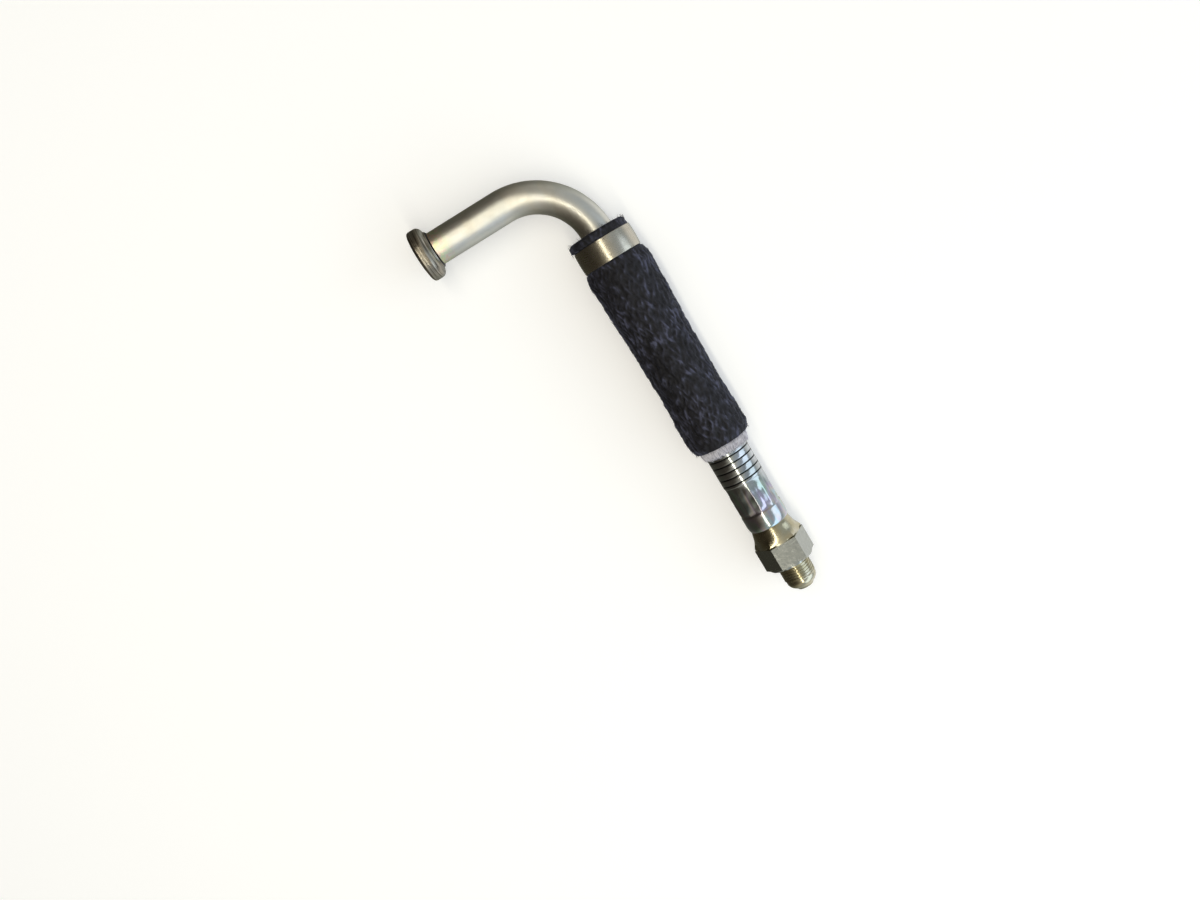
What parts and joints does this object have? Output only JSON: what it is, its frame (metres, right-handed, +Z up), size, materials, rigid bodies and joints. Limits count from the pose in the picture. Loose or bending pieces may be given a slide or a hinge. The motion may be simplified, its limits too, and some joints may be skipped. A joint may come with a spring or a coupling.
{
  "type": "hydraulic hose assembly",
  "caption": "Short sleeved hydraulic hose with a bent pipe ending in a flange head on one side and a crimped ferrule, hexagon and threaded male stud on the other.",
  "frame": {"origin": "centre of the bottom of the bounding box, with the assembly lying flat", "axes": "+X along the hose towards the threaded stud, the pipe leg turns to -Y, +Z up"},
  "size_m": [0.2868, 0.1098, 0.0382],
  "materials": {
    "pipe_zinc": "satin zinc plate with a pale yellow chromate",
    "flange_zinc": "turned steel, zinc plated",
    "braze": "brazed fillet under the plating",
    "seal_rubber": "moulded nitrile",
    "stem_steel": "turned steel, zinc plated",
    "ferrule_zinc": "bright zinc plate, crimped",
    "hose_rubber": "extruded nitrile tube",
    "braid_wire": "brass-coated steel wire braid",
    "cover_rubber": "cloth-wrapped rubber cover",
    "glass_textile": "braided glass fibre",
    "sleeve_textile": "black felted textile",
    "band_steel": "rolled steel strip, yellow zinc",
    "fitting_zinc": "turned steel, yellow zinc plate"
  },
  "bodies": {
    "pipe_end": {"bent_pipe": "pipe_zinc", "flange_head": "flange_zinc", "flange_braze_ring": "braze", "flange_oring": "seal_rubber", "pipe_hose_stem": "stem_steel", "stem_braze_ring": "braze", "pipe_end_ferrule": "ferrule_zinc", "hose_liner": "hose_rubber", "inner_wire_braid": "braid_wire", "hose_mid_rubber": "hose_rubber", "outer_wire_braid": "braid_wire", "hose_cover": "cover_rubber", "sleeve_glass_liner": "glass_textile", "sleeve_jacket": "sleeve_textile", "sleeve_band": "band_steel"},
    "fitting_end": {"fitting_ferrule": "ferrule_zinc", "fitting_insert": "fitting_zinc"}
  },
  "joints": [
    {"name": "hose_flex", "type": "hinge", "parent": "pipe_end", "child": "fitting_end", "pos_m": [0.0111, 0.03585, 0.0191], "axis": [0, 0, 1], "range_deg": [-12, 12], "stiffness_Nm_per_rad": 35, "deforming": ["hose_liner", "inner_wire_braid", "hose_mid_rubber", "outer_wire_braid", "hose_cover", "sleeve_glass_liner", "sleeve_jacket"]}
  ]
}
